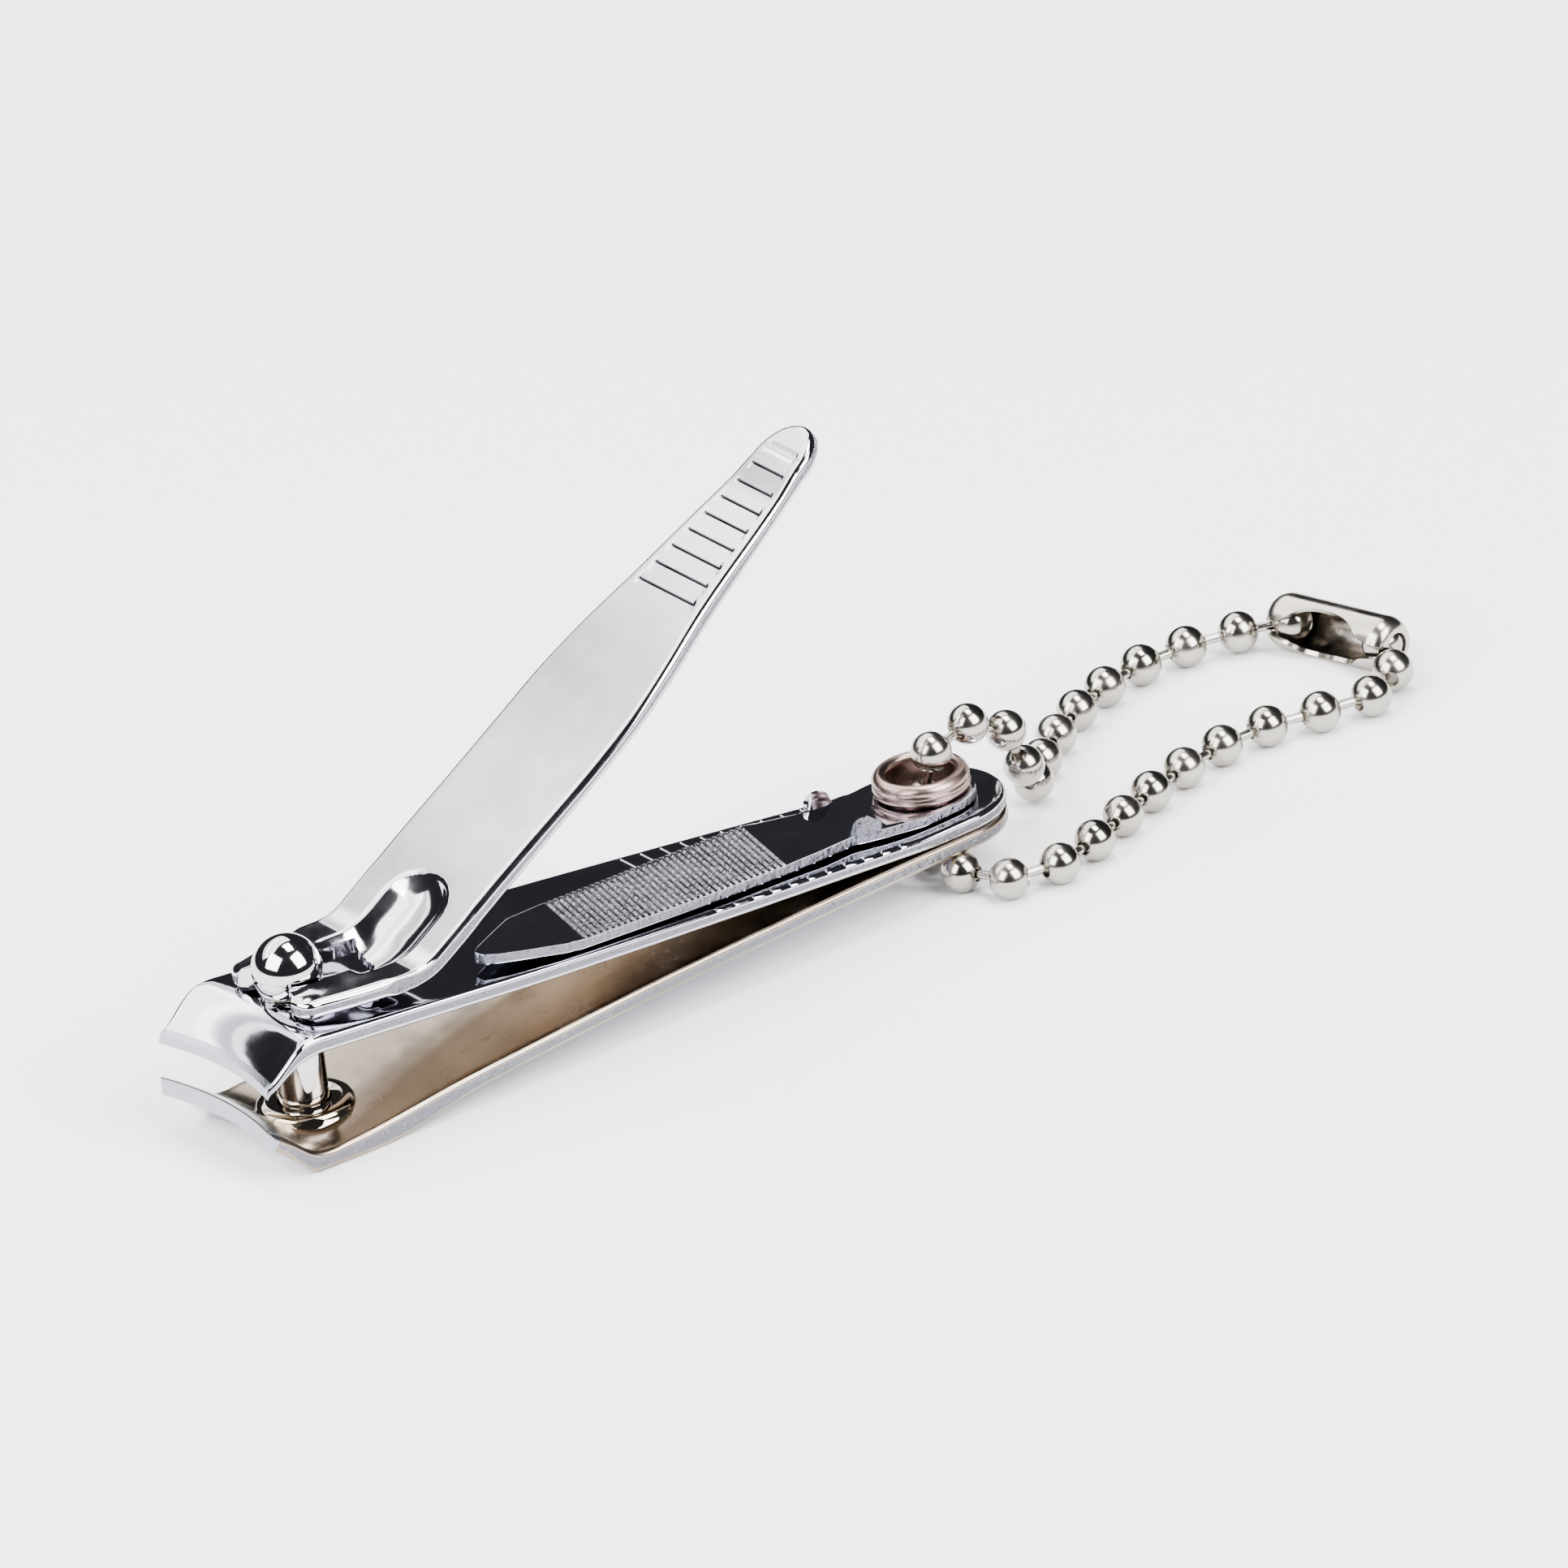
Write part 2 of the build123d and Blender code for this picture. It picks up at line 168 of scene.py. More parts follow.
JAW = chrome("jaw_plating", (0.58, 0.58, 0.65), grain=0.01)
INSIDE = chrome("jaw_inside", (0.40, 0.33, 0.26), rough=(0.16, 0.32), grain=0.06, grain_axis=0,
                dirt=1.1, patch=90)
SHEARED = chrome("sheared_edge", (0.19, 0.19, 0.22), rough=(0.12, 0.34), grain=0.25, grain_axis=2, pits=0.9)
GROUND = chrome("ground_strip", (0.36, 0.37, 0.41), rough=(0.14, 0.24), grain=0.5, grain_axis=2)
LEVER = chrome("lever_plating", (0.62, 0.61, 0.65), rough=(0.05, 0.12), grain=0.01)
SEAT = chrome("seat_plating", (0.56, 0.48, 0.38), dirt=0.4)
# The lever's grip grooves get a near-black plating: painted shade in the grooves.
GROOVE_SHADE = chrome("press_groove_shade", (0.16, 0.16, 0.18), rough=(0.10, 0.25))
PIN = chrome("pin_plating", (0.60, 0.59, 0.60), grain=0.02, grain_axis=2)
FILE = chrome("file_plating", (0.66, 0.67, 0.74), grain=0.04)
CUTS = chrome("file_cuts", (0.30, 0.30, 0.33), rough=(0.16, 0.32), grain=0.3, pits=0.2)
EYELET = chrome("eyelet_plating", (0.38, 0.27, 0.245), rough=(0.22, 0.36), dirt=0.5)
CHAIN = chrome("chain_nickel", (0.47, 0.44, 0.40), rough=(0.13, 0.24), dirt=0.35, scale=1.6)
CLASP = chrome("clasp_nickel", (0.49, 0.45, 0.40), rough=(0.15, 0.28), grain=0.08, grain_axis=0, dirt=0.3)

# ---------------------------------------------------------------- mesh helpers


def finish_mesh(name, verts, faces, mats, body, replaced, indexes=None, sharp=38):
    """A named piece from points and faces: it rides a body and stands for the replaced CAD nodes.
    indexes gives each face's material."""
    mesh = bpy.data.meshes.new(name)
    mesh.from_pydata([tuple(v) for v in verts], [], faces)
    for mat in mats:
        mesh.materials.append(mat)
    if indexes:
        for poly, k in zip(mesh.polygons, indexes):
            poly.material_index = k
    bm = bmesh.new()
    bm.from_mesh(mesh)
    bmesh.ops.remove_doubles(bm, verts=bm.verts, dist=2e-6)
    bmesh.ops.dissolve_degenerate(bm, edges=bm.edges, dist=1e-6)
    bmesh.ops.recalc_face_normals(bm, faces=bm.faces)
    bm.to_mesh(mesh)
    bm.free()
    obj = bpy.data.objects.new(name, mesh)
    bpy.context.scene.collection.objects.link(obj)
    shade(obj, sharp)
    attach(obj, body)
    if replaced:
        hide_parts(*replaced)
    return obj


def shade(obj, sharp):
    """Smooth shading, with an edge kept sharp where its faces meet at more than sharp degrees."""
    mesh = obj.data
    for poly in mesh.polygons:
        poly.use_smooth = True
    mesh.set_sharp_from_angle(angle=math.radians(sharp))


def cut(obj, cutter):
    """Takes one closed shape from another, and throws the cutter away."""
    mod = obj.modifiers.new("cut", "BOOLEAN")
    mod.operation = "DIFFERENCE"
    mod.solver = "EXACT"
    mod.object = cutter
    bpy.context.view_layer.update()
    deps = bpy.context.evaluated_depsgraph_get()
    new = bpy.data.meshes.new_from_object(obj.evaluated_get(deps))
    obj.modifiers.remove(mod)
    old = obj.data
    obj.data = new
    new.name = old.name
    bpy.data.meshes.remove(old)
    bpy.data.objects.remove(cutter)


def prism(outline, z0, z1):
    """A closed upright shape from an outline in drawing millimetres, used as a cutter."""
    n = len(outline)
    verts = [place(x, y, z0) for x, y in outline] + [place(x, y, z1) for x, y in outline]
    faces = [tuple(range(n))[::-1], tuple(range(n, 2 * n))]
    faces += [(i, (i + 1) % n, n + (i + 1) % n, n + i) for i in range(n)]
    return cutting_shape(verts, faces)


def cutting_shape(verts, faces):
    """An object to cut with: closed, its doubled points joined, its faces turned outward."""
    mesh = bpy.data.meshes.new("cutter")
    mesh.from_pydata([tuple(v) for v in verts], [], faces)
    bm = bmesh.new()
    bm.from_mesh(mesh)
    bmesh.ops.remove_doubles(bm, verts=bm.verts, dist=1e-6)
    bmesh.ops.recalc_face_normals(bm, faces=bm.faces)
    bm.to_mesh(mesh)
    bm.free()
    obj = bpy.data.objects.new("cutter", mesh)
    bpy.context.scene.collection.objects.link(obj)
    return obj


def circle(x, y, r, n=48):
    """An outline of n points round (x, y), in drawing millimetres."""
    return [(x + r * math.cos(a), y + r * math.sin(a)) for a in (2 * math.pi * i / n for i in range(n))]


def lathe(profile, cx, steps=96):
    """Verts and faces of a profile of (radius, z) turned about the upright line x = cx, y = 0."""
    verts, faces = [], []
    n = len(profile)
    for k in range(steps):
        a = 2 * math.pi * k / steps
        verts += [place(cx + r * math.cos(a), r * math.sin(a), z) for r, z in profile]
    for k in range(steps):
        m = (k + 1) % steps
        for i in range(n - 1):
            faces.append((k * n + i, m * n + i, m * n + i + 1, k * n + i + 1))
    return verts, faces


def plate(stations, warp, half_steps, corner, corner_steps):
    """A closed plate with rounded edges, and each face's kind: 0 top, 1 under side, 2 edge.
    A station is (x, y, nx, ny, top, low): a point of the outline on the +Y side, its outward
    direction, and the heights of both faces as functions of (x, y)."""
    verts, faces, kinds = [], [], []
    across = [i / half_steps for i in range(-half_steps, half_steps + 1)]
    turns = [math.pi / 2 * k / corner_steps for k in range(1, corner_steps + 1)]
    for x, y, nx, ny, top, low in stations:
        r = max(0.0, min(corner, (top(x, 0) - low(x, 0)) * 0.45))
        bx, by = x - nx * r, max(0.0, y - ny * r)

        def rounded(side, face, inward, a):
            return (bx + nx * r * math.sin(a), side * (by + ny * r * math.sin(a)),
                    face(bx, side * by) + inward * (r * (1 - math.cos(a))))

        ring = [(bx, v * by, top(bx, v * by)) for v in across]
        ring += [rounded(1, top, -1, a) for a in turns]
        ring += [rounded(1, low, 1, a) for a in reversed(turns)]
        ring += [(bx, v * by, low(bx, v * by)) for v in reversed(across)]
        ring += [rounded(-1, low, 1, a) for a in turns]
        ring += [rounded(-1, top, -1, a) for a in reversed(turns)]
        verts += [warp(*point) for point in ring]
    n = len(verts) // len(stations)
    m = 2 * half_steps + 1
    wall_a = m + corner_steps - 1
    wall_b = m + 2 * corner_steps + m + corner_steps - 1
    for i in range(len(stations) - 1):
        for k in range(n):
            q = (k + 1) % n
            faces.append((i * n + k, i * n + q, (i + 1) * n + q, (i + 1) * n + k))
            if k in (wall_a, wall_b):
                kinds.append(2)
            elif m + 2 * corner_steps - 1 <= k <= m + 2 * corner_steps + m - 2:
                kinds.append(1)
            else:
                kinds.append(0)
    for start in (0, (len(stations) - 1) * n):
        faces.append(tuple(range(start, start + n)) if start else tuple(range(n))[::-1])
        kinds.append(0)
    return verts, faces, kinds


# ---------------------------------------------------------------- jaws

GRIPS = [31.5 + 1.32 * k for k in range(11)]
side_of_jaw = curve_table([(-1.0, 5.35), (2.4, 5.65), (10.0, 5.65), (20.0, 5.6), (33.0, 5.0),
                           (42.0, 4.45), (50.3, 3.99)])
BOW_R = 20.8


def bow(x, y):
    """How far the bowed head pushes a point back: 0.7 mm at the middle of the edge, none at its ends."""
    return (math.sqrt(BOW_R * BOW_R - y * y) - 20.1) * (1 - smooth(4.0, 13.0, x))


def jaw_warp(x, y, z):
    return place(x + bow(x, y), y, z)


def jaw_stations(top, low, head):
    """The shared outline from the tail's tip forward, then the head's own pairs of points."""
    out = []
    for k in range(0, 25):
        a = math.radians(86 * k / 24)
        out.append((50.0 + 4.0 * math.cos(a), 4.0 * math.sin(a), math.cos(a), math.sin(a), top, low))
    along = [49.9 - 0.6 * k for k in range(80)]
    along = [x for x in along if x > head[0][0][0] + 0.5 and min(abs(x - g) for g in GRIPS) > 0.2]
    along += [g + d for g in GRIPS for d in (-0.07, 0.0, 0.07)]
    for x in sorted(along, reverse=True):
        out.append((x, side_of_jaw(x), 0.0, 1.0, top, low))
    for (xt, zt), (xb, zb) in head:
        out.append((xt, side_of_jaw(xt), 0.0, 1.0, (lambda u, v, z=zt: z), (lambda u, v, z=zb: z)))
    return out


def head_plate(stations, head):
    """Builds a jaw; in the head each station's lower points move to their own x. Its last strips are
    the ground cutting edge, kind 3."""
    half_steps, corner_steps = 14, 5
    verts, faces, kinds = plate(stations, lambda x, y, z: (x, y, z), half_steps, 0.3, corner_steps)
    n = len(verts) // len(stations)
    m = 2 * half_steps + 1
    first = len(stations) - len(head)
    out = []
    for i in range(len(stations)):
        shift = 0.0
        if i >= first:
            (xt, _), (xb, _) = head[i - first]
            shift = xb - xt
        zs = [verts[i * n + k][2] for k in range(n)]
        hi, lo = max(zs), min(zs)
        for k in range(n):
            x, y, z = verts[i * n + k]
            t = (hi - z) / (hi - lo) if hi - lo > 1e-6 else (0.0 if k < m + corner_steps else 1.0)
            out.append(jaw_warp(x + shift * t, y, z))
    for i in range(len(stations) - 4, len(stations) - 1):
        for k in range(n):
            kinds[i * n + k] = 3
    return out, faces, kinds


upper_line = curve_table([(3.6, 8.16), (5.0, 8.06), (10.0, 7.62), (30.0, 5.84), (40.0, 4.95),
                          (46.0, 4.42), (48.0, 4.37), (54.0, 4.37)])
upper_under = curve_table([(3.6, 7.1), (5.0, 7.0), (10.0, 6.58), (30.0, 4.89), (40.0, 4.04),
                           (45.0, 3.62), (47.5, 3.46), (54.0, 3.42)])


def upper_top(x, y):
    z = upper_line(x)
    for g in GRIPS:
        d = abs(x - g)
        if d < 0.07:
            z -= 0.06 * (1 - d / 0.07)
    return z


UPPER_HEAD = [
    ((4.3, 8.13), (4.3, 7.06)), ((3.8, 8.14), (3.8, 7.06)), ((3.3, 8.10), (3.3, 7.02)),
    ((2.9, 8.0), (2.95, 6.95)), ((2.6, 7.84), (2.65, 6.85)), ((2.35, 7.66), (2.35, 6.72)),
    ((2.1, 7.47), (2.05, 6.56)), ((1.8, 7.22), (1.75, 6.38)), ((1.4, 6.88), (1.45, 6.18)),
    ((1.0, 6.55), (1.15, 5.98)), ((0.66, 6.30), (0.85, 5.8)), ((0.28, 6.10), (0.55, 5.68)),
    ((0.24, 5.80), (0.35, 5.60)), ((0.22, 5.53), (0.26, 5.52)),
]
stations = jaw_stations(upper_top, lambda x, y: upper_under(x), UPPER_HEAD)
verts, faces, kinds = head_plate(stations, UPPER_HEAD)
upper = finish_mesh("upper_jaw_plate", verts, faces, [JAW, INSIDE, SHEARED, GROUND], "upper", ["upper_jaw"],
                    kinds)
# The pin's hole is a little long, so that the jaw can tip on the shaft.
pin_hole = [(PIN_X + 1.85 * math.cos(a) + 0.1, 1.75 * math.sin(a))
            for a in (2 * math.pi * i / 48 for i in range(48))]
cut(upper, prism(pin_hole, 5, 10))
cut(upper, prism(circle(EYELET_X, 0, 2.35), 2, 6))
shade(upper, 32)

lower_line = curve_table([(4.2, 1.1), (7.4, 1.36), (14.6, 2.2), (26.0, 2.98), (38.0, 3.30),
                          (46.0, 3.37), (54.0, 3.37)])
lower_under = curve_table([(4.2, 0.01), (8.4, 0.03), (14.6, 1.12), (26.0, 1.95), (38.0, 2.26),
                           (46.0, 2.36), (54.0, 2.38)])
LOWER_HEAD = [
    ((4.3, 1.1), (4.3, 0.02)), ((3.7, 1.14), (3.6, 0.02)), ((3.2, 1.24), (2.95, 0.04)),
    ((2.75, 1.42), (2.6, 0.14)), ((2.35, 1.68), (2.3, 0.38)), ((1.95, 2.02), (1.9, 0.8)),
    ((1.6, 2.34), (1.4, 1.28)), ((1.2, 2.68), (0.8, 1.84)), ((0.8, 3.0), (0.2, 2.3)),
    ((0.45, 3.25), (-0.1, 2.42)), ((0.2, 3.4), (-0.06, 2.9)), ((0.03, 3.47), (-0.01, 3.42)),
]
stations = jaw_stations(lambda x, y: lower_line(x), lambda x, y: lower_under(x), LOWER_HEAD)
verts, faces, kinds = head_plate(stations, LOWER_HEAD)
swap = {0: 1, 1: 0, 2: 2, 3: 3}  # the lower jaw's inside is its top
lower = finish_mesh("lower_jaw_plate", verts, faces, [JAW, INSIDE, SHEARED, GROUND], "lower", ["lower_jaw"],
                    [swap[k] for k in kinds])
cut(lower, prism(circle(PIN_X, 0, 2.3), -1, 4))
cut(lower, prism(circle(EYELET_X, 0, 2.27), 1, 5))
shade(lower, 32)
seat_profile = [(1.52, 1.1), (1.52, 1.72), (1.6, 1.8), (2.5, 1.8), (2.72, 1.72), (2.85, 1.5), (2.9, 1.2),
                (3.05, 1.08), (3.05, 0.8), (2.31, 0.8), (2.31, 1.02), (2.2, 1.06), (1.52, 1.1)]
seat_verts, seat_faces = lathe(seat_profile, PIN_X)
finish_mesh("lower_jaw_seat", seat_verts, seat_faces, [SEAT], "lower", [], sharp=50)

# ---------------------------------------------------------------- pin

dome = [(2.05 * math.sin(math.radians(a)), 9.9 + 2.05 * math.cos(math.radians(a))) for a in range(0, 88, 4)]
bulb = [(2.03 * math.cos(math.radians(a)), 9.75 - 1.95 * math.sin(math.radians(a))) for a in range(0, 66, 5)]
pin_profile = dome + [(2.06, 9.88), (2.05, 9.80)] + bulb + [
    (0.9, 7.85), (0.9, 7.62), (1.1, 7.42), (1.4, 7.3), (1.45, 7.2), (1.45, 1.9), (1.46, 1.3), (1.46, 1.0),
    (2.0, 0.95), (2.1, 0.86), (2.1, 0.08), (2.02, 0.0), (0.0, 0.0)]
verts, faces = lathe(pin_profile, PIN_X)
finish_mesh("pin_post", verts, faces, [PIN], "pin", ["pin"], sharp=40)

# ---------------------------------------------------------------- lever

BEND_AT = 12.1 - 4.2
RISE = math.radians(32.2)
BEND_R = 3.2
LEVER_TOP = 9.35


def lever_path(s):
    """Where the lever's top face runs, s mm from the fork's tips: flat, an arc, then the arm."""
    half = BEND_R * math.tan(RISE / 2)
    flat = BEND_AT - half
    if s <= flat:
        return 4.2 + s, LEVER_TOP, 0.0
    a = (s - flat) / BEND_R
    if a <= RISE:
        return 4.2 + flat + BEND_R * math.sin(a), LEVER_TOP + BEND_R * (1 - math.cos(a)), a
    x = 4.2 + flat + BEND_R * math.sin(RISE)
    z = LEVER_TOP + BEND_R * (1 - math.cos(RISE))
    rest = s - flat - BEND_R * RISE
    return x + rest * math.cos(RISE), z + rest * math.sin(RISE), RISE


def lever_warp(s, y, h):
    x, z, a = lever_path(s)
    return place(x - h * math.sin(a), y, z + h * math.cos(a))


dent_deep = curve_table([(4.0, 1.7), (5.6, 1.4), (7.0, 1.0), (8.5, 0.74), (10.5, 0.72), (13.0, 0.6)])


def dimple(s, y, wide, share):
    """The pressed dent behind the slot: steep on its near side, easy on its far side, round at its end."""
    t = (y + 0.2) / (2.65 * wide)
    away = math.hypot(t, max(0.0, s - 10.7) / (2.1 * wide))
    if away >= 1:
        return 0.0
    power = lerp(3.6, 1.7, smooth(-0.5, 0.5, t))
    return dent_deep(s) * (1 - away**power) * share * smooth(4.6, 6.0, s)


def curl(s, y):
    """How far the fork's tips curl up."""
    return 0.4 * math.exp(-(((abs(y) - 1.7) / 0.9) ** 2)) * (1 - smooth(1.2, 3.6, s))


PRESS = [25.9 + 1.3 * k for k in range(9)]


def lever_top(s, y):
    z = -dimple(s, y, 1.0, 1.0) + curl(s, y)
    arc = s - BEND_AT
    wave = 1 - math.cos((arc - 4.5) * 2 * math.pi / 21)
    z -= 0.09 * wave * smooth(4.5, 7.0, arc) * (1 - smooth(33.0, 36.0, arc))
    for k, g in enumerate(PRESS):
        d = abs(arc - g)
        if d < 0.1 and abs(y) < 2.75 - 0.17 * k:
            z -= 0.1 * (1 - d / 0.1)
    return z


def lever_low(s, y):
    return -1.05 - dimple(s, y, 1.1, 0.4) + curl(s, y) * 0.6


lever_half = curve_table([(0.0, 3.6), (1.0, 4.05), (4.8, 4.85), (7.9, 5.0), (16.0, 5.05), (25.4, 5.02),
                          (29.4, 4.55), (33.9, 3.65), (39.4, 2.85), (43.5, 2.2)])
stations = []
for k in range(0, 10):
    a = math.radians(90 * k / 9)
    stations.append((0.9 - 0.9 * math.cos(a), 2.7 + 1.35 * math.sin(a), -math.cos(a), math.sin(a),
                     lever_top, lever_low))
along = [1.05 + 0.17 * k for k in range(78)]
along += [14.4 + 0.5 * k for k in range(58) if min(abs(14.4 + 0.5 * k - BEND_AT - g) for g in PRESS) > 0.2]
along += [BEND_AT + g + d for g in PRESS for d in (-0.1, 0.0, 0.1)]
for s in sorted(along):
    stations.append((s, lever_half(s), 0.0, 1.0, lever_top, lever_low))
for k in range(0, 17):
    a = math.radians(90 * k / 16)
    stations.append((43.5 + 2.7 * math.sin(a), 2.2 * math.cos(a), math.sin(a), math.cos(a),
                     lever_top, lever_low))
verts, faces, kinds = plate(stations, lever_warp, half_steps=26, corner=0.36, corner_steps=5)
per = len(verts) // len(stations)
# The faces in each grip groove take the near-black plating, kind 3: painted shade in the grooves.
for i, station in enumerate(stations[:-1]):
    for k, g in enumerate(PRESS):
        if abs(station[0] - BEND_AT - g + 0.05) < 0.08:
            reach = 52 * (0.5 - 0.5 * (2.75 - 0.17 * k) / (lever_half(station[0]) - 0.36))
            for j in range(max(0, round(reach)), min(52, 52 - round(reach))):
                kinds[i * per + j] = 3
lever = finish_mesh("lever_arm", verts, faces, [LEVER, LEVER, SHEARED, GROOVE_SHADE], "lever", ["lever"],
                    kinds)
rough_edge = random.Random(4)
slot_outline = [(2.0, -2.5), (4.3, -2.4), (4.9, -1.9), (5.9, -1.72), (7.5, -1.7), (8.8, -1.9), (10.0, -2.35)]
slot_outline += [(10.72 + 0.15 * k / 3 + 0.2 * rough_edge.random(), -2.3 + 0.26 * k) for k in range(17)]
slot_outline += [(10.4, 2.1), (9.0, 1.85), (7.5, 1.7), (5.9, 1.72), (4.9, 1.9), (4.3, 2.4), (2.0, 2.5)]
cut(lever, prism(slot_outline, 5, 14))
# The fork's round seat: a sphere about the press axis, so the pin's ball clears it however far it is pressed.
PRESS_AXIS_Z = 9.97
SEAT_RADIUS = 2.2
seat_turns = [math.pi * k / 36 for k in range(37)]
seat_ball = [(SEAT_RADIUS * math.sin(a), PRESS_AXIS_Z + SEAT_RADIUS * math.cos(a)) for a in seat_turns]
cut(lever, cutting_shape(*lathe(seat_ball, PIN_X)))
shade(lever, 40)

# ---------------------------------------------------------------- file

SWUNG = math.radians(5.6)
FILE_Z = 4.48
TEETH = [11.6 + 0.45 * k for k in range(34)]
file_middle = curve_table([(0.0, 0.0), (5.0, -0.1), (11.0, -0.35), (17.0, -0.1), (23.5, 0.1),
                           (29.0, 0.27), (33.2, 0.5)])


def file_warp(s, y, z):
    """s runs forward from the eyelet and y to the near side; the cuts run forward as they near it."""
    s += 0.3 * y * smooth(9.0, 11.6, s) * (1 - smooth(26.6, 28.5, s))
    y += file_middle(s)
    x = EYELET_X - s * math.cos(SWUNG) + y * math.sin(SWUNG)
    return place(x, -s * math.sin(SWUNG) - y * math.cos(SWUNG), FILE_Z + z)


def file_base(s):
    return max(0.0, (s - 2.5) * 0.1)


def file_top(s, y):
    """The leaf's top face with its cuts; it is a little thinner under the eyelet's flange."""
    z = file_base(s) + 0.65 - 0.06 * (1 - smooth(2.9, 3.5, s))
    d = min(abs(s - t) for t in TEETH)
    if d < 0.13:
        z -= 0.08 * (1 - d / 0.13)
    return z


file_half = table([(0.0, 3.05), (2.0, 3.05), (5.0, 2.75), (7.0, 2.45), (9.5, 2.9), (11.3, 3.0), (18.0, 2.95),
                   (23.5, 2.8), (28.6, 2.68), (29.4, 2.3), (31.2, 1.45), (32.5, 0.8), (33.0, 0.5)])


def file_low(s, y):
    return file_base(s)


stations = []
for k in range(0, 17):
    a = math.radians(90 * k / 16)
    stations.append((-3.05 * math.cos(a), 3.05 * math.sin(a), -math.cos(a), math.sin(a), file_top, file_low))
along = [0.3 + 0.35 * k for k in range(32)] + [26.75 + 0.3 * k for k in range(21)]
along += [t + d for t in TEETH for d in (-0.13, 0.0, 0.13)] + [29.4, 31.2]
for s in sorted(along):
    stations.append((s, file_half(s), 0.0, 1.0, file_top, file_low))
for k in range(0, 6):
    a = math.radians(90 * k / 5)
    stations.append((32.85 + 0.35 * math.sin(a), 0.05 + 0.5 * math.cos(a), math.sin(a), math.cos(a),
                     file_top, file_low))
verts, faces, kinds = plate(stations, file_warp, half_steps=10, corner=0.07, corner_steps=2)
per = len(verts) // len(stations)
for i, station in enumerate(stations[:-1]):
    if TEETH[0] - 0.2 <= station[0] < TEETH[-1] + 0.1:
        for k in range(20):
            kinds[i * per + k] = 3
leaf = finish_mesh("file_leaf", verts, faces, [FILE, FILE, SHEARED, CUTS], "file", ["nail_file"],
                   kinds)
cut(leaf, prism(circle(EYELET_X, 0, 2.34), 3, 7))
shade(leaf, 30)

# Two ears stand up from the edges of the leaf, for a finger to swing it by.
for side, centre, wide in ((-1, 5.5, 0.95), (1, 6.1, 0.85)):
    verts, faces = [], []
    steps = 14
    torn = random.Random(7 + side)
    for k in range(steps + 1):
        a = math.pi * k / steps
        up = 0.85 * math.sin(a) ** 0.7 + (0.12 * torn.random() if side > 0 else 0.0)
        s = centre - wide * math.cos(a)
        y = (file_half(s) - 0.1) * side
        section = ((0.0, -0.25), (0.0, 0.0), (0.14, up), (-0.16, up + 0.02), (-0.36, 0.0), (-0.36, -0.25))
        for lean, h in section:
            verts.append(file_warp(s, y + side * (lean + 0.1), file_base(s) + 0.65 + h))
    for k in range(steps):
        for i in range(6):
            faces.append((k * 6 + i, k * 6 + (i + 1) % 6, (k + 1) * 6 + (i + 1) % 6, (k + 1) * 6 + i))
    faces += [tuple(range(6)), tuple(range(steps * 6, steps * 6 + 6))]
    finish_mesh("file_ear_near" if side > 0 else "file_ear_far", verts, faces,
                [SHEARED if side > 0 else FILE], "file", [], sharp=50)

# ---------------------------------------------------------------- eyelet

eyelet_profile = [
    (1.95, 2.1), (1.95, 5.95), (2.0, 6.15), (2.12, 6.32), (2.32, 6.4), (2.52, 6.36), (2.7, 6.22),
    (2.82, 6.02), (2.82, 5.82), (2.74, 5.68), (2.72, 5.62), (2.82, 5.5), (2.84, 5.35), (2.78, 5.24),
    (2.6, 5.22), (2.25, 5.22), (2.25, 2.36), (2.8, 2.36), (2.85, 2.2), (2.8, 2.0), (2.6, 1.83),
    (2.35, 1.77), (2.1, 1.86), (1.95, 2.1),
]
verts, faces = lathe(eyelet_profile, EYELET_X)
finish_mesh("eyelet_tube", verts, faces, [EYELET], "lower", ["tail_eyelet"], sharp=60)

# ---------------------------------------------------------------- chain

BALL = 1.2
LINK_HOLE = 0.46
WIRE = 0.27
WIRE_SUNK = 0.78  # how far from a ball's centre the wire ends inside it
LAY_OUT = [
    (49.1, -0.5, 1.3), (49.2, 0.0, 4.4), (49.0, -0.8, 7.3), (52.0, 0.0, 8.1), (55.2, 0.2, 7.3),
    (56.5, 0.6, 3.9), (57.8, 2.0, 1.3), (60.0, 4.6, 1.22), (65.0, 8.6, 1.2), (71.3, 11.1, 1.2),
    (77.6, 10.4, 1.2), (80.35, 8.0, 1.6),
]
LAY_BACK = [
    (82.15, 1.6, 1.6), (81.1, -1.6, 1.3), (78.0, -3.4, 1.2), (72.6, -1.6, 1.2), (69.6, -1.3, 1.2),
    (63.4, -2.8, 1.2), (56.6, -6.2, 1.2), (53.1, -7.4, 1.2), (50.0, -6.9, 1.2), (48.4, -4.1, 1.2),
    (49.1, -0.5, 1.3),
]


def route(name, points):
    """The way a strand lies: points read from a smooth spline, in metres."""
    curve = bpy.data.curves.new(name, "CURVE")
    curve.dimensions = "3D"
    spline = curve.splines.new("NURBS")
    spline.points.add(len(points) - 1)
    for p, xyz in zip(spline.points, points):
        p.co = (*place(*xyz), 1.0)
    spline.order_u = 3
    spline.use_endpoint_u = True
    spline.resolution_u = 24
    obj = bpy.data.objects.new(name, curve)
    bpy.context.scene.collection.objects.link(obj)
    bpy.context.view_layer.update()
    deps = bpy.context.evaluated_depsgraph_get()
    mesh = bpy.data.meshes.new_from_object(obj.evaluated_get(deps))
    line = [v.co.copy() for v in mesh.vertices]
    bpy.data.objects.remove(obj)
    bpy.data.meshes.remove(mesh)
    return line


def even(line, count):
    """count points at even steps along a line, its ends among them."""
    lengths = [0.0]
    for a, b in zip(line, line[1:]):
        lengths.append(lengths[-1] + (b - a).length)
    out = []
    for k in range(count):
        want = lengths[-1] * k / (count - 1)
        i = max(0, min(len(line) - 2, sum(1 for d in lengths if d <= want) - 1))
        span = lengths[i + 1] - lengths[i]
        out.append(line[i].lerp(line[i + 1], (want - lengths[i]) / span if span else 0.0))
    return out, lengths[-1]


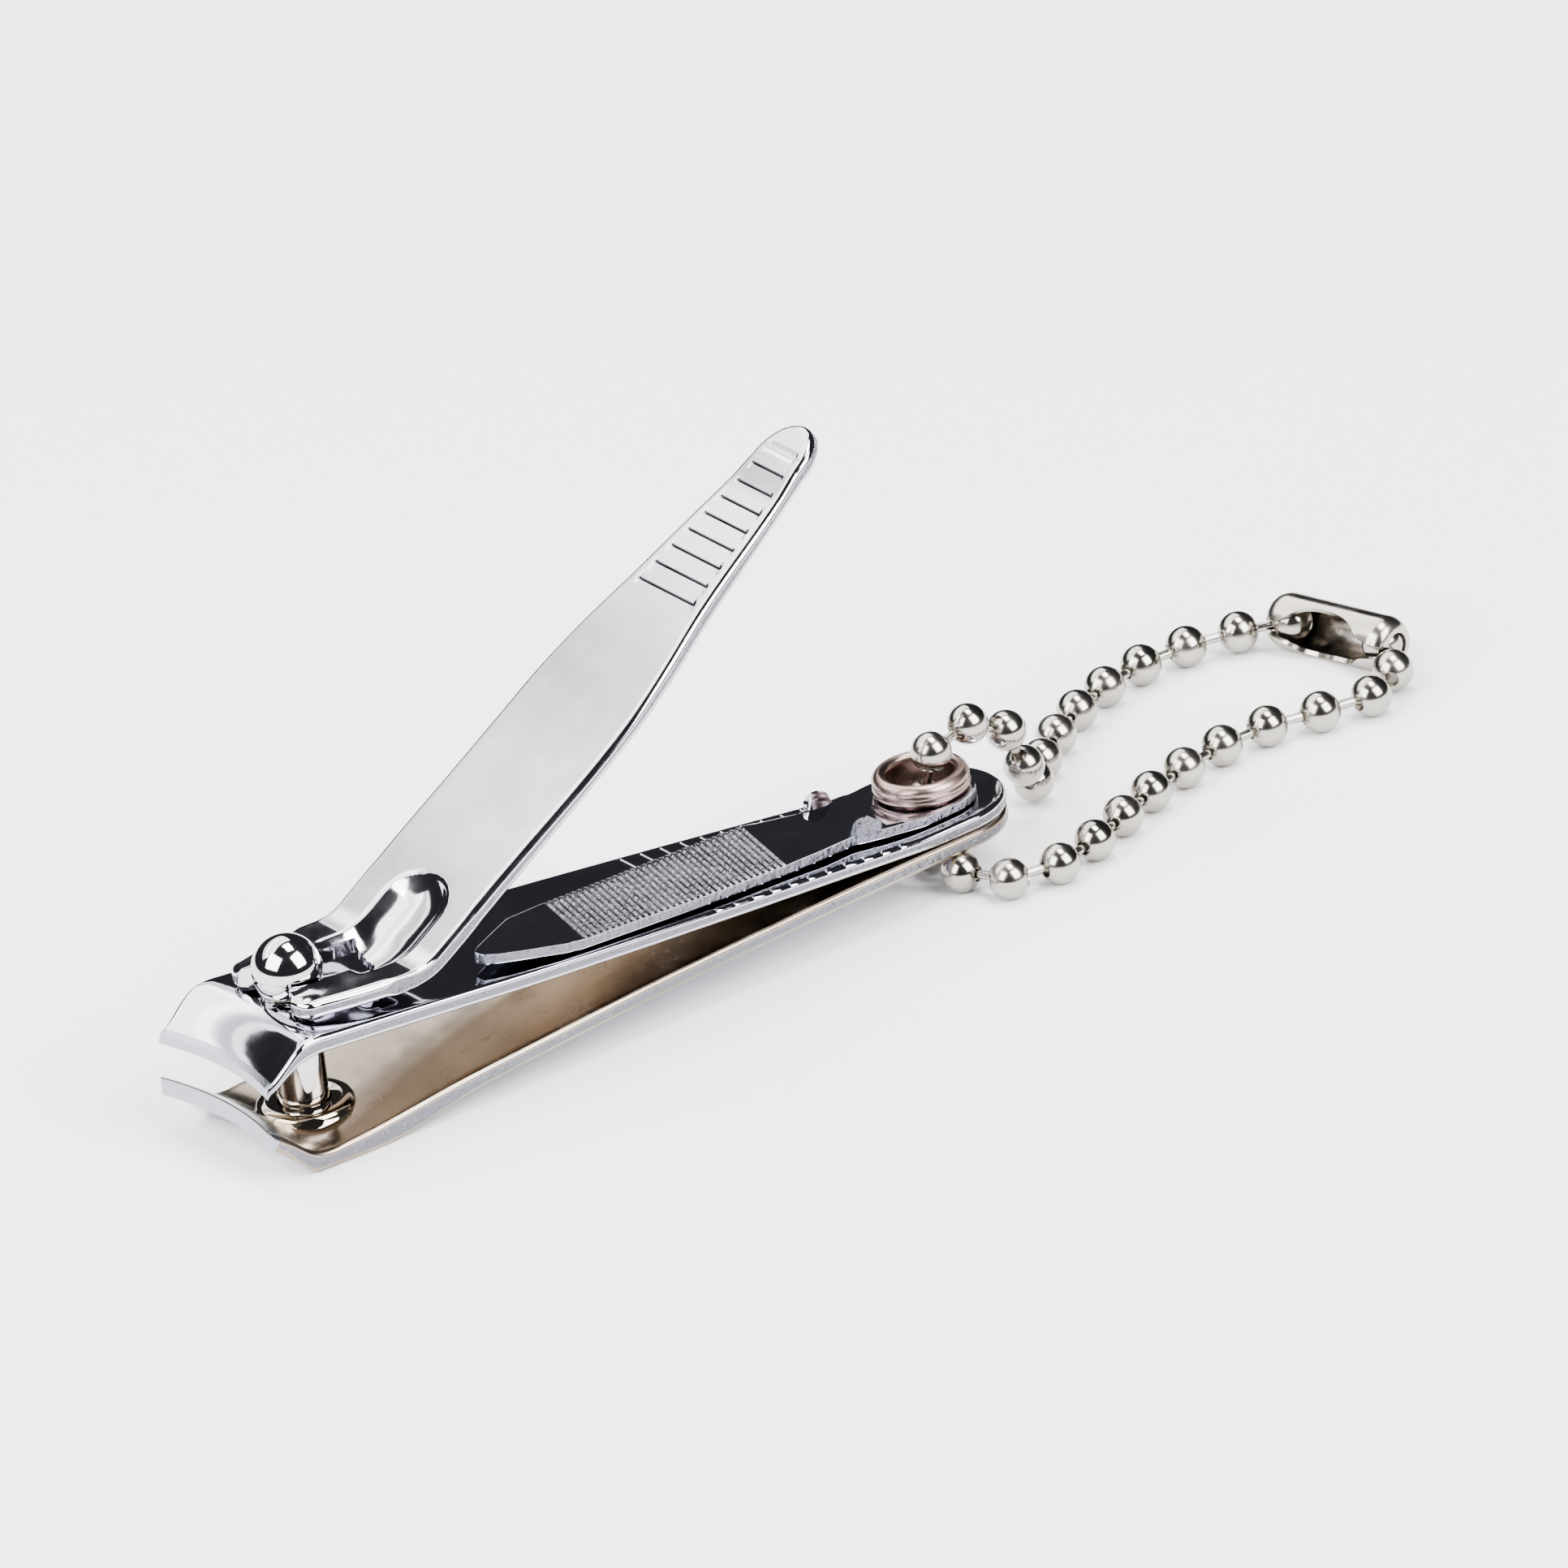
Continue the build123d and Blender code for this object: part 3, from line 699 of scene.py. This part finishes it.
def turned(profile, origin, way, steps, verts, faces):
    """Adds a (radius, along) profile turned about a line from origin along way, in millimetres."""
    way = way.normalized()
    side = way.orthogonal().normalized()
    up = way.cross(side)
    base, n = len(verts), len(profile)
    for k in range(steps):
        a = 2 * math.pi * k / steps
        out = side * math.cos(a) + up * math.sin(a)
        verts += [origin + out * (r * MM) + way * (t * MM) for r, t in profile]
    for k in range(steps):
        m = (k + 1) % steps
        for i in range(n - 1):
            faces.append((base + k * n + i, base + m * n + i, base + m * n + i + 1, base + k * n + i + 1))


def ball(centre, way, verts, faces):
    """A rolled ball with a small lipped hole at each end of the line along way."""
    hole = math.degrees(math.asin(LINK_HOLE / BALL))
    profile = [(0.0, -0.80), (0.36, -0.84), (0.42, -0.98)]
    for k in range(0, 25):
        a = math.radians(hole + (180 - 2 * hole) * k / 24)
        profile.append((BALL * math.sin(a), -BALL * math.cos(a)))
    profile += [(0.42, 0.98), (0.36, 0.84), (0.0, 0.80)]
    turned(profile, centre, way, 40, verts, faces)


def wire(a, b, verts, faces):
    """The straight wire between the balls at a and b."""
    way = b - a
    end = way.length / MM - WIRE_SUNK
    turned([(0.0, WIRE_SUNK), (WIRE, WIRE_SUNK), (WIRE, end), (0.0, end)], a, way, 20, verts, faces)


def strand(points):
    """Balls at the points, each turned to its neighbours, and the wires between them."""
    verts, faces = [], []
    for i, c in enumerate(points):
        a = points[i - 1] if i else None
        b = points[i + 1] if i + 1 < len(points) else None
        if a is None:
            way = b - c
        elif b is None:
            way = c - a
        else:
            way = (b - c).normalized() + (c - a).normalized()
        ball(c, way, verts, faces)
    for a, b in zip(points, points[1:]):
        wire(a, b, verts, faces)
    return verts, faces


out_line, back_line = route("way_out", LAY_OUT), route("way_back", LAY_BACK)
out_balls, out_length = even(out_line, 15)
back_balls, back_length = even(back_line, 14)

clasp_a, clasp_b = out_balls[-1], back_balls[0]
clasp_way = (clasp_b - clasp_a).normalized()
clasp_mid = (clasp_a + clasp_b) / 2
verts, faces = [], []
OUTER, HALF_LONG = 1.65, 4.4
side = Vector((0, 0, 1)).cross(clasp_way).normalized()
lift = clasp_way.cross(side)
gap = curve_table([(-4.4, 0.24), (-3.6, 0.28), (-2.7, 0.55), (-1.6, 1.0), (-0.4, 1.12), (0.9, 1.05),
                   (1.9, 0.8), (2.6, 0.42), (3.4, 0.28), (4.4, 0.26)])
OPEN_AT = math.radians(174)
steps_long, steps_round = 72, 44
for i in range(steps_long + 1):
    t = -HALF_LONG + 2 * HALF_LONG * i / steps_long
    half = gap(t)
    # Each end is drawn in round its ball, and the lower lip is pinched a little at the middle.
    close = max(0.0, (abs(t) - 3.35) / 1.05)
    narrow = 1 - 0.42 * (1 - math.sqrt(max(0.0, 1 - close * close)))
    for r in (OUTER * narrow, (OUTER - 0.26) * narrow):
        for k in range(steps_round + 1):
            turn = k / steps_round
            a = OPEN_AT + half + (2 * math.pi - 2 * half) * turn
            a -= 0.16 * math.exp(-(((t - 0.4) / 0.8) ** 2)) * (1 - turn) ** 3
            out = side * math.cos(a) + lift * math.sin(a)
            verts.append(clasp_mid + clasp_way * (t * MM) + out * (r * MM))
row = 2 * (steps_round + 1)
for i in range(steps_long):
    q = steps_round + 1
    for k in range(steps_round):
        faces.append((i * row + k, i * row + k + 1, (i + 1) * row + k + 1, (i + 1) * row + k))
        faces.append((i * row + q + k, (i + 1) * row + q + k, (i + 1) * row + q + k + 1, i * row + q + k + 1))
    for k in (0, steps_round):
        faces.append((i * row + k, (i + 1) * row + k, (i + 1) * row + q + k, i * row + q + k))
for i in (0, steps_long):
    for k in range(steps_round):
        faces.append((i * row + k, i * row + k + 1, i * row + q + k + 1, i * row + q + k))
clasp = finish_mesh("chain_clasp", verts, faces, [CLASP], "lower", ["chain_connector"],
                    sharp=50)

verts, faces = strand(out_balls)
strand_out = finish_mesh("chain_strand_out", verts, faces, [CHAIN], "lower",
                         [f"bead_{i:02d}" for i in range(1, 16)] + ["wires_out"], sharp=60)
verts, faces = strand(back_balls[:-1])
wire(back_balls[-2], back_balls[-1], verts, faces)
strand_back = finish_mesh("chain_strand_back", verts, faces, [CHAIN], "lower",
                          [f"bead_{i:02d}" for i in range(16, 29)] + ["wires_back"], sharp=60)

# ---------------------------------------------------------------- floor, light, camera

floor_mesh = bpy.data.meshes.new("floor")
floor_mesh.from_pydata([(-3, -3, 0), (3, -3, 0), (3, 3, 0), (-3, 3, 0)], [], [(0, 1, 2, 3)])
floor = bpy.data.objects.new("floor", floor_mesh)
bpy.context.scene.collection.objects.link(floor)
paper = bpy.data.materials.new("paper")
paper.use_nodes = True
pb = paper.node_tree.nodes["Principled BSDF"]
pb.inputs["Base Color"].default_value = (0.93, 0.93, 0.935, 1)
pb.inputs["Roughness"].default_value = 0.9
floor_mesh.materials.append(paper)

world = bpy.data.worlds.new("studio")
bpy.context.scene.world = world
world.use_nodes = True
wn = world.node_tree
bg = wn.nodes["Background"]
bg.inputs["Color"].default_value = (0.035, 0.036, 0.042, 1)
bg.inputs["Strength"].default_value = 1.0


AIM = place(30, 0, 8)


def softbox(name, toward, distance, width, height, power):
    """A rectangular light of width by height metres and power watts, aimed at the clipper."""
    light = bpy.data.lights.new(name, "AREA")
    light.shape = "RECTANGLE"
    light.size, light.size_y = width, height
    light.energy = power
    obj = bpy.data.objects.new(name, light)
    bpy.context.scene.collection.objects.link(obj)
    d = Vector(toward).normalized()
    obj.location = AIM + d * distance
    obj.rotation_euler = (-d).to_track_quat("-Z", "Y").to_euler()


softbox("left_box", (-1.0, -0.07, 0.78), 0.7, 0.55, 0.55, 13.0)
softbox("right_box", (0.375, -0.93, 0.78), 0.7, 0.45, 0.55, 13.0)
softbox("top_box", (0.2, 0.0, 1.0), 0.9, 0.45, 0.30, 10.0)


def placing(right, up, back, spot):
    """The matrix that stands an object at spot with these directions as its own axes."""
    return Matrix(((right.x, up.x, back.x, spot.x), (right.y, up.y, back.y, spot.y),
                   (right.z, up.z, back.z, spot.z), (0, 0, 0, 1)))


# The softbox behind the clipper is a stack of strips of uneven strength, so that the flat plates show
# soft bands. Each strip is (low edge, high edge, radiance), its edges in metres from the middle.
toward = Vector((-0.12, 0.64, 0.76)).normalized()
across = Vector((0, 0, 1)).cross(toward).normalized()
upward = toward.cross(across)
strips = [(-0.235, -0.19, 4.2), (-0.19, -0.165, 2.0), (-0.165, -0.145, 2.2), (-0.145, -0.13, 3.4),
          (-0.13, -0.115, 5.4), (-0.115, -0.07, 8.5), (-0.07, 0.03, 6.5), (0.03, 0.16, 5.0),
          (0.16, 0.26, 6.5)]
for i, (low_edge, high_edge, glow) in enumerate(strips):
    strip = bpy.data.lights.new(f"back_strip_{i}", "AREA")
    strip.shape = "RECTANGLE"
    strip.size, strip.size_y = 1.0, high_edge - low_edge
    strip.energy = glow * math.pi * strip.size * strip.size_y
    lamp = bpy.data.objects.new(strip.name, strip)
    bpy.context.scene.collection.objects.link(lamp)
    spot = AIM + toward * 0.7 + upward * (low_edge + high_edge) / 2
    lamp.matrix_world = placing(across, upward, toward, spot)

cam_data = bpy.data.cameras.new("camera")
cam = bpy.data.objects.new("camera", cam_data)
bpy.context.scene.collection.objects.link(cam)
bpy.context.scene.camera = cam
RIGHT = Vector((0.81479, -0.56754, -0.11839)).normalized()
BACK = Vector((-0.47427, -0.76995, 0.42690)).normalized()
UP = BACK.cross(RIGHT).normalized()
RIGHT = UP.cross(BACK)
spot = place(-1381.894, -2308.561, 1288.748)
cam.matrix_world = placing(RIGHT, UP, BACK, spot)
cam_data.sensor_width = 36.0
cam_data.sensor_fit = "HORIZONTAL"
cam_data.lens = 65206.7 / 1932 * 36.0
cam_data.clip_start = 0.1
cam_data.clip_end = 20.0
